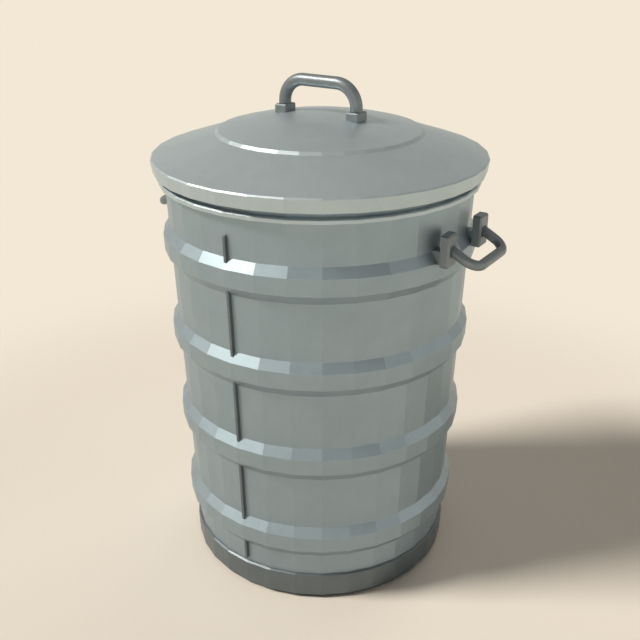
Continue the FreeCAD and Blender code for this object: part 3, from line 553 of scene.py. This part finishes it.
# ------------------------------------------------------------------ the object
@dataclass
class Can:
    """Tapered can: ribbed wall, rim hoop, base ring and seam strips."""

    sheet: float = 0.8 * MM
    gap: float = 0.3 * MM           # between the wall and what lies on it
    foot_radius: float = 196.3 * MM
    rim_wall_radius: float = 219.9 * MM
    rib_count: int = 4
    lowest_rib: float = 103.5 * MM  # height of its middle
    rib_spacing: float = 134.6 * MM
    rib_depth: float = 9.5 * MM
    rib_half_flat: float = 12.1 * MM  # half the height of a rib's face
    rib_slope: float = 13.5 * MM    # height of the slope above and below it
    rim_radius: float = 227.2 * MM
    roll_height: float = 8.4 * MM
    roll_bevel: float = 2.6 * MM
    hoop_upper_bevel: float = 1.8 * MM
    hoop_lower_bevel: float = 0.6 * MM
    foot_height: float = 5.0 * MM   # of the narrower foot under the base ring
    foot_recess: float = 4.5 * MM   # how far it is set back from the ring's face
    ring_stand_out: float = 3.5 * MM  # how far the ring's face stands out from the wall
    ring_bevel: float = 1.7 * MM
    ring_top_bevel: float = 2.9 * MM
    ring_top_drop: float = 1.8 * MM
    ring_foot_thickness: float = 2.5 * MM
    ring_bore: float = 188.0 * MM
    strip_width: float = 4.0 * MM
    strip_depth: float = 4.7 * MM
    strip_end_gap: float = 0.5 * MM  # between a strip's end and the rib's slope
    strip_rounding: float = 0.5 * MM
    strip_turn: float = 30.0        # degrees from which a strip's edge is rounded
    rounding: float = 0.35 * MM     # of every fold in the sheet
    hoop_rounding: float = 0.25 * MM

    def __post_init__(self) -> None:
        """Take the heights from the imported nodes."""
        self.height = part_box("body_shell")[1][2]
        self.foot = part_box("body_shell")[0][2]
        self.hoop_foot, self.hoop_top = (corner[2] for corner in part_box("rim_hoop"))
        self.ring_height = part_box("base_ring")[1][2]

    def wall(self, height: float, offset: float = 0.0) -> float:
        """Corner radius of the wall at a height, moved outward by an offset."""
        taper = (self.rim_wall_radius - self.foot_radius) / self.height
        return self.foot_radius + taper * height + offset

    def rib_middle(self, number: int) -> float:
        """Height of the middle of a rib, counted from the lowest."""
        return self.lowest_rib + number * self.rib_spacing

    def wall_rings(self, offset: float) -> list[Ring]:
        """Rings up the ribbed wall, without its two ends."""
        rings = []
        half = self.rib_half_flat + self.rib_slope
        for number in range(self.rib_count):
            middle = self.rib_middle(number)
            levels = ((-half, 0.0), (-self.rib_half_flat, self.rib_depth),
                      (self.rib_half_flat, self.rib_depth), (half, 0.0))
            rings += [(self.wall(middle + up, offset + out), middle + up) for up, out in levels]
        return rings

    def make_wall(self, finish: bpy.types.Material) -> None:
        """Wall with its ribs and the rolled rim."""
        roll_foot = self.height - self.roll_height
        flat = self.rim_radius - self.roll_bevel
        outside = [(self.wall(self.foot), self.foot), *self.wall_rings(0.0),
                   (self.wall(roll_foot), roll_foot),
                   (flat, roll_foot), (self.rim_radius, roll_foot + self.roll_bevel),
                   (self.rim_radius, self.height - self.roll_bevel), (flat, self.height)]
        inside = [(self.wall(self.foot, -self.sheet), self.foot), *self.wall_rings(-self.sheet),
                  (self.wall(self.height, -self.sheet), self.height)]
        mesh = folded_form(outside + inside[::-1], capped=False)
        piece = new_piece("can_wall", mesh, finish, Body.CAN, ["body_shell"])
        round_edges(piece, self.rounding)

    def make_hoop(self, finish: bpy.types.Material) -> None:
        """Folded hoop a little below the rolled rim."""
        low, high = self.hoop_foot, self.hoop_top
        rings = [(self.wall(low, self.gap), low),
                 (self.rim_radius - self.hoop_lower_bevel, low),
                 (self.rim_radius, low + self.hoop_lower_bevel),
                 (self.rim_radius, high - self.hoop_upper_bevel),
                 (self.rim_radius - self.hoop_upper_bevel, high),
                 (self.wall(high, self.gap), high)]
        piece = new_piece("rim_band", folded_form(rings, capped=False), finish, Body.CAN,
                          ["rim_hoop"])
        round_edges(piece, self.hoop_rounding)

    def make_base_ring(self, finish: bpy.types.Material) -> None:
        """Heavy ring on a set-back foot, turned in under the wall."""
        out = self.ring_stand_out
        foot, top = self.foot_height, self.ring_height
        ledge = foot + self.ring_foot_thickness
        foot_face = self.wall(0.0, out - self.foot_recess)
        face_foot, face_top = foot + self.ring_bevel, top - self.ring_top_drop
        rings = [(self.ring_bore, 0.0), (foot_face, 0.0), (foot_face, foot),
                 (self.wall(foot, out - self.ring_bevel), foot),
                 (self.wall(face_foot, out), face_foot), (self.wall(face_top, out), face_top),
                 (self.wall(top, out - self.ring_top_bevel), top),
                 (self.wall(top, self.gap), top), (self.wall(ledge, self.gap), ledge),
                 (self.ring_bore, ledge)]
        piece = new_piece("foot_ring", folded_form(rings, capped=False), finish, Body.CAN,
                          ["base_ring"])
        round_edges(piece, self.rounding)

    def strip_outline(self, number: int) -> list[tuple[float, float]]:
        """Section of a seam strip between two ribs, in the Y-Z plane.

        Args:
            number: Strip's place, counted from the lowest.

        Returns:
            Y and Z of its four corners.
        """
        lowest, highest = (corner[2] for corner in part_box(f"seam_strip_{number + 1}"))
        half = self.rib_half_flat + self.rib_slope
        lean = self.rib_slope / self.rib_depth

        def lower(out: float) -> float:
            """Height of the lower end at a distance out from the wall."""
            if number == 0:
                return lowest
            return self.rib_middle(number - 1) + half - lean * out + self.strip_end_gap

        def upper(out: float) -> float:
            """Height of the upper end at a distance out from the wall."""
            if number == self.rib_count:
                return highest
            return self.rib_middle(number) - half + lean * out - self.strip_end_gap

        corners = ((lower, self.gap), (lower, self.strip_depth),
                   (upper, self.strip_depth), (upper, self.gap))
        return [(-self.wall(end(out), out), end(out)) for end, out in corners]

    def make_strips(self, finish: bpy.types.Material) -> None:
        """Cover strips over the side seam."""
        for number in range(self.rib_count + 1):
            node = f"seam_strip_{number + 1}"
            mesh = prism(self.strip_outline(number), self.strip_width)
            piece = new_piece(f"seam_cover_{number + 1}", mesh, finish, Body.CAN, [node])
            round_edges(piece, self.strip_rounding, self.strip_turn)

    def make(self, sheet: bpy.types.Material, pale: bpy.types.Material,
             strip: bpy.types.Material) -> None:
        """Build every piece of the can.

        Args:
            sheet: Finish of the wall.
            pale: Finish of the hoop.
            strip: Finish of the base ring and the seam strips.
        """
        self.make_wall(sheet)
        self.make_hoop(pale)
        self.make_base_ring(strip)
        self.make_strips(strip)


@dataclass
class SideHandle:
    """Bar handle that droops outward from two lugs."""

    side: Side
    diameter: float = 13.5 * MM
    lug_spacing: float = 98.0 * MM
    lug_face: float = 234.5 * MM
    entry_height: float = 536.4 * MM   # where the bar leaves the lugs' faces
    reach: float = 37.3 * MM           # from the lugs' faces to the grip's centreline
    corner: float = 20.0 * MM
    droop: float = math.radians(28.0)
    socket: float = 8.0 * MM           # length of the bar inside a lug
    corner_steps: int = 14
    sides: int = 32
    end_bevel: float = 0.5 * MM

    def make(self, finish: bpy.types.Material) -> None:
        """Build the bar."""
        path = bow_path(self.lug_spacing / 2, self.reach + self.socket, self.corner,
                        self.corner_steps)
        mesh = swept_tube(path, self.diameter / 2, self.sides, self.end_bevel)
        outward = Vector((math.cos(self.droop), 0, -math.sin(self.droop)))
        mouth = Vector((self.lug_face, 0, self.entry_height))
        across = Vector((0, 1, 0))
        columns = Matrix((across, across.cross(outward) * -1, outward)).transposed()
        place = Matrix.Translation(mouth - outward * self.socket) @ columns.to_4x4()
        turn = Matrix.Rotation(self.side.value, 4, "Z")
        bmesh.ops.transform(mesh, matrix=turn @ place, verts=mesh.verts)
        node = f"{self.side.word}_handle_bar"
        new_piece(f"{self.side.word}_grip", mesh, finish, Body.CAN, [node])


@dataclass
class Lid:
    """Lift-off lid: hemmed skirt, cone, raised step, dome and its bar handle."""

    sheet: float = 0.8 * MM
    radius: float = 236.3 * MM
    skirt_foot_radius: float = 233.6 * MM
    skirt_height: float = 19.6 * MM
    bevel: float = 2.0 * MM
    bevel_drop: float = 1.4 * MM
    cone_rise: float = 29.0 * MM
    step_radius: float = 146.6 * MM
    step_height: float = 4.1 * MM
    step_lean: float = 4.1 * MM
    dome_rise: float = 20.2 * MM
    dome_flat: float = 18.6 * MM
    dome_steps: tuple[float, ...] = (0.2, 0.4, 0.6, 0.8)    # shares of the dome's radius
    hem: float = 5.4 * MM           # width and height of the rolled hem
    rounding: float = 0.35 * MM
    bar_diameter: float = 17.2 * MM
    bar_corner: float = 31.5 * MM
    bar_end_bevel: float = 1.0 * MM
    corner_steps: int = 16
    bar_sides: int = 36

    def __post_init__(self) -> None:
        """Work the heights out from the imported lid."""
        self.skirt_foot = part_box("lid_shell")[0][2]
        self.edge = self.skirt_foot + self.skirt_height
        self.cone_slope = self.cone_rise / (self.radius - self.step_radius)
        self.step_foot = self.edge + self.cone_rise
        self.step_top = self.step_foot + self.step_height
        self.dome_radius = self.step_radius - self.step_lean

    def dome(self, radius: float, drop: float = 0.0) -> float:
        """Height of the dome at a distance from the axis, less a drop."""
        fall = self.dome_rise * (radius / self.dome_radius) ** 2
        return self.step_top + self.dome_rise - fall - drop

    def make_shell(self, finish: bpy.types.Material) -> None:
        """Lid sheet, from its top middle over the edge and back under."""
        thick = self.sheet
        bevel_level = self.edge + self.cone_slope * self.bevel
        hem_top = self.skirt_foot + self.hem
        hem_inner = self.skirt_foot_radius - self.hem
        skirt_taper = (self.radius - self.skirt_foot_radius) / self.skirt_height
        dome_radii = [self.dome_flat, *(self.dome_radius * share for share in self.dome_steps)]
        top = [(radius, self.dome(radius)) for radius in dome_radii]
        top += [(self.dome_radius, self.step_top), (self.step_radius, self.step_foot),
                (self.radius - self.bevel, bevel_level),
                (self.radius, self.edge - self.bevel_drop),
                (self.skirt_foot_radius + skirt_taper * thick, self.skirt_foot + thick),
                (self.skirt_foot_radius - thick, self.skirt_foot)]
        under = [(hem_inner + thick, self.skirt_foot), (hem_inner, self.skirt_foot + thick),
                 (hem_inner, hem_top - thick), (hem_inner + thick, hem_top),
                 (self.skirt_foot_radius + skirt_taper * self.hem - thick, hem_top),
                 (self.radius - thick, self.edge - self.bevel_drop),
                 (self.radius - self.bevel, bevel_level - thick),
                 (self.step_radius - thick / 2, self.step_foot - thick),
                 (self.dome_radius - thick / 2, self.step_top - thick)]
        under += [(radius - thick / 2, self.dome(radius, thick)) for radius in reversed(dome_radii)]
        piece = new_piece("lid_sheet", folded_form(top + under, capped=True), finish, Body.LID,
                          ["lid_shell"])
        round_edges(piece, self.rounding)

    def make_bar(self, finish: bpy.types.Material) -> None:
        """Round bar handle, from boss to boss."""
        low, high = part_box("lid_handle_bar")
        radius = self.bar_diameter / 2
        half_span = high[0] - radius
        rise = high[2] - radius - low[2]
        path = bow_path(half_span, rise, self.bar_corner, self.corner_steps)
        mesh = swept_tube(path, radius, self.bar_sides, self.bar_end_bevel)
        bmesh.ops.translate(mesh, verts=mesh.verts, vec=(0, 0, low[2]))
        new_piece("lid_grip", mesh, finish, Body.LID, ["lid_handle_bar"])

    def make(self, sheet: bpy.types.Material, bar: bpy.types.Material) -> None:
        """Build every piece of the lid.

        Args:
            sheet: Finish of the lid's sheet.
            bar: Finish of the bar handle.
        """
        self.make_shell(sheet)
        self.make_bar(bar)


def dress_packed_nodes(finishes: dict[str, bpy.types.Material]) -> None:
    """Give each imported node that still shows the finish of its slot.

    Args:
        finishes: Material for each of the record's slots.
    """
    for name, node in frame["nodes"].items():
        finish = finishes[SLOTS[name]]
        if not node.material_slots:
            node.data.materials.append(finish)
        for material_slot in node.material_slots:
            material_slot.material = finish


# ------------------------------------------------------------------ the studio
@dataclass(frozen=True)
class Lamp:
    """Soft lamp so far off that its light falls the same way everywhere.

    Attributes:
        name: Lamp's name.
        azimuth: Degrees round the axis, from +X.
        elevation: Degrees above the floor.
        spread: Degrees that the lamp looks wide.
        strength: Watts per square metre.
        mirrored: Whether the metal mirrors the lamp; otherwise it only lights dull surfaces.
        colour: sRGB hex.
    """

    name: str
    azimuth: float
    elevation: float
    spread: float
    strength: float
    mirrored: bool = True
    colour: str = "fff8ed"

    def hang(self) -> None:
        """Turn the lamp towards the can."""
        turn, lift = math.radians(self.azimuth), math.radians(self.elevation)
        away = Vector((math.cos(lift) * math.cos(turn), math.cos(lift) * math.sin(turn),
                       math.sin(lift)))
        data = bpy.data.lights.new(self.name, "SUN")
        data.angle = math.radians(self.spread)
        data.energy = self.strength
        data.color = linear(self.colour)[:3]
        lamp = bpy.data.objects.new(self.name, data)
        lamp.visible_glossy = self.mirrored
        lamp.location = away * LAMP_DISTANCE
        lamp.rotation_euler = (-away).to_track_quat("-Z", "Y").to_euler()
        bpy.context.scene.collection.objects.link(lamp)
        log.info("%s: azimuth %.0f, elevation %.0f", self.name, self.azimuth, self.elevation)


@dataclass
class Studio:
    """Pale floor, soft lamps, a dim room with a pale horizon, and the camera."""

    floor_colour: str = "f2ebe1"
    backdrop_colour: str = "f2e8d5"
    room_colour: str = "ffffff"     # the room as it lights the can
    room_strength: float = 0.02
    ceiling_colour: str = "8d8a85"  # the room as the metal mirrors it, overhead
    horizon_colour: str = "c9c4bc"  # and near the horizon
    horizon_level: float = 0.15     # sine of the elevation up to which it is the horizon's,
    ceiling_level: float = 0.75     # and from which it is the ceiling's
    floor_reach: float = 40.0       # half the floor's width
    floor_drop: float = 0.2 * MM    # below the can's foot, so that the two don't share a plane
    floor_roughness: float = 0.9
    floor_specular: float = 0.1
    fade_start: float = 0.62        # distance from the can where the floor begins to
    fade_end: float = 1.2           # turn into the backdrop, and where it has
    camera_place: tuple[float, float, float] = (0.6815, -1.0493, 0.929)
    camera_aim: tuple[float, float, float] = (0.0, 0.0, 0.3644)
    camera_angle: float = 39.16     # degrees across the square picture
    lamps: tuple[Lamp, ...] = (
        # From the picture's left: the bright side and the shadow.
        Lamp("key_lamp", 222.0, 44.0, spread=15.0, strength=2.95),
        # From behind: softens the shadow, with no streak on the metal.
        Lamp("fill_screen", 90.0, 27.0, spread=45.0, strength=0.6, mirrored=False),
        # From the right and low: the shaded flats.
        Lamp("side_lamp", 20.0, 12.0, spread=60.0, strength=0.4),
        # From the camera and low: the wall in front and under the skirt.
        Lamp("front_card", 300.0, 8.0, spread=40.0, strength=0.35),
        # From above: the lid, the ribs' upper slopes and the floor.
        Lamp("top_lamp", 0.0, 90.0, spread=60.0, strength=0.22),
        # From behind on the left: the far side of the lid.
        Lamp("back_lamp", 140.0, 40.0, spread=70.0, strength=0.12),
    )

    def make_floor(self) -> None:
        """Lay one wide pale floor that keeps the can's shadow."""
        mesh = bmesh.new()
        bmesh.ops.create_grid(mesh, x_segments=1, y_segments=1, size=self.floor_reach)
        data = bpy.data.meshes.new("floor")
        mesh.to_mesh(data)
        mesh.free()
        floor = bpy.data.objects.new("floor", data)
        floor.location.z = -self.floor_drop
        bpy.context.scene.collection.objects.link(floor)
        data.materials.append(self.make_paper())

    def make_paper(self) -> bpy.types.Material:
        """Pale paper that turns into the evenly lit backdrop far from the can.

        Returns:
            The floor's material.
        """
        material = bpy.data.materials.new("pale_paper")
        material.use_nodes = True
        nodes, links = material.node_tree.nodes, material.node_tree.links
        shader = nodes["Principled BSDF"]
        shader.inputs["Base Color"].default_value = linear(self.floor_colour)
        shader.inputs["Roughness"].default_value = self.floor_roughness
        shader.inputs["Specular IOR Level"].default_value = self.floor_specular
        place = add_node(material, "ShaderNodeTexCoord").outputs["Object"]
        reach = add_node(material, "ShaderNodeVectorMath", {"operation": "LENGTH"})
        links.new(place, reach.inputs[0])
        fade = add_node(material, "ShaderNodeMapRange", {
            "interpolation_type": "SMOOTHSTEP", "From Min": self.fade_start,
            "From Max": self.fade_end}, {"Value": reach.outputs["Value"]})
        far = add_node(material, "ShaderNodeEmission", {"Color": linear(self.backdrop_colour)})
        mix = add_node(material, "ShaderNodeMixShader", links={"Fac": fade.outputs["Result"]})
        links.new(shader.outputs["BSDF"], mix.inputs[1])
        links.new(far.outputs["Emission"], mix.inputs[2])
        links.new(mix.outputs["Shader"], nodes["Material Output"].inputs["Surface"])
        return material

    def mirrored_room(self, world: bpy.types.World) -> bpy.types.NodeSocket:
        """Colour that the metal mirrors: pale at the horizon, duller overhead.

        Args:
            world: World that holds the nodes.

        Returns:
            Socket with the colour.
        """
        place = add_node(world, "ShaderNodeTexCoord")
        parts = add_node(world, "ShaderNodeSeparateXYZ",
                         links={"Vector": place.outputs["Generated"]})
        ramp = add_ramp(world, parts.outputs["Z"], (self.horizon_level, self.horizon_colour),
                        (self.ceiling_level, self.ceiling_colour))
        ramp.color_ramp.interpolation = "EASE"
        return ramp.outputs["Color"]

    def make_room(self) -> None:
        """Light the can dimly from all sides, with a pale backdrop behind it."""
        world = bpy.data.worlds.new("room")
        bpy.context.scene.world = world
        world.use_nodes = True
        nodes, links = world.node_tree.nodes, world.node_tree.links
        room = nodes["Background"]
        room.inputs["Color"].default_value = linear(self.room_colour)
        room.inputs["Strength"].default_value = self.room_strength
        mirrored = add_node(world, "ShaderNodeBackground", {"Strength": 1.0},
                            {"Color": self.mirrored_room(world)})
        backdrop = add_node(world, "ShaderNodeBackground", {
            "Color": linear(self.backdrop_colour), "Strength": 1.0})
        rays = add_node(world, "ShaderNodeLightPath")
        seen = room
        for ray, other in (("Is Glossy Ray", mirrored), ("Is Camera Ray", backdrop)):
            mix = add_node(world, "ShaderNodeMixShader", links={"Fac": rays.outputs[ray]})
            links.new(seen.outputs[0], mix.inputs[1])
            links.new(other.outputs[0], mix.inputs[2])
            seen = mix
        links.new(seen.outputs[0], nodes["World Output"].inputs["Surface"])

    def make_camera(self) -> None:
        """Set the camera at the picture's viewing angle."""
        data = bpy.data.cameras.new("camera")
        data.sensor_fit = "HORIZONTAL"
        data.angle = math.radians(self.camera_angle)
        camera = bpy.data.objects.new("camera", data)
        camera.location = self.camera_place
        sight = Vector(self.camera_aim) - Vector(self.camera_place)
        camera.rotation_euler = sight.to_track_quat("-Z", "Y").to_euler()
        bpy.context.scene.collection.objects.link(camera)
        bpy.context.scene.camera = camera

    def make(self) -> None:
        """Build the whole studio."""
        self.make_floor()
        self.make_room()
        for lamp in self.lamps:
            lamp.hang()
        self.make_camera()
        bpy.context.scene.view_settings.view_transform = "Standard"


def main() -> None:
    """Build the can, its handles, the lid and the studio, in that order."""
    logging.basicConfig(level=logging.INFO, format="%(name)s: %(message)s")
    finishes = {
        "galvanised_sheet": WEATHERED_ZINC.build(),
        "pale_galvanised_sheet": PALE_ZINC.build(),
        "dark_banding_steel": DARKENED_STRIP.build(),
        "dark_handle_steel": BLACKENED_BAR.build(),
        "zinc_hardware": ZINC_PLATE.build(),
        "plain_wire": DRAWN_WIRE.build(),
    }
    dress_packed_nodes(finishes)
    Can().make(finishes["galvanised_sheet"], finishes["pale_galvanised_sheet"],
               finishes["dark_banding_steel"])
    for side in Side:
        SideHandle(side).make(finishes["dark_handle_steel"])
    Lid().make(finishes["pale_galvanised_sheet"], finishes["dark_handle_steel"])
    Studio().make()


if __name__ == "__main__":
    main()
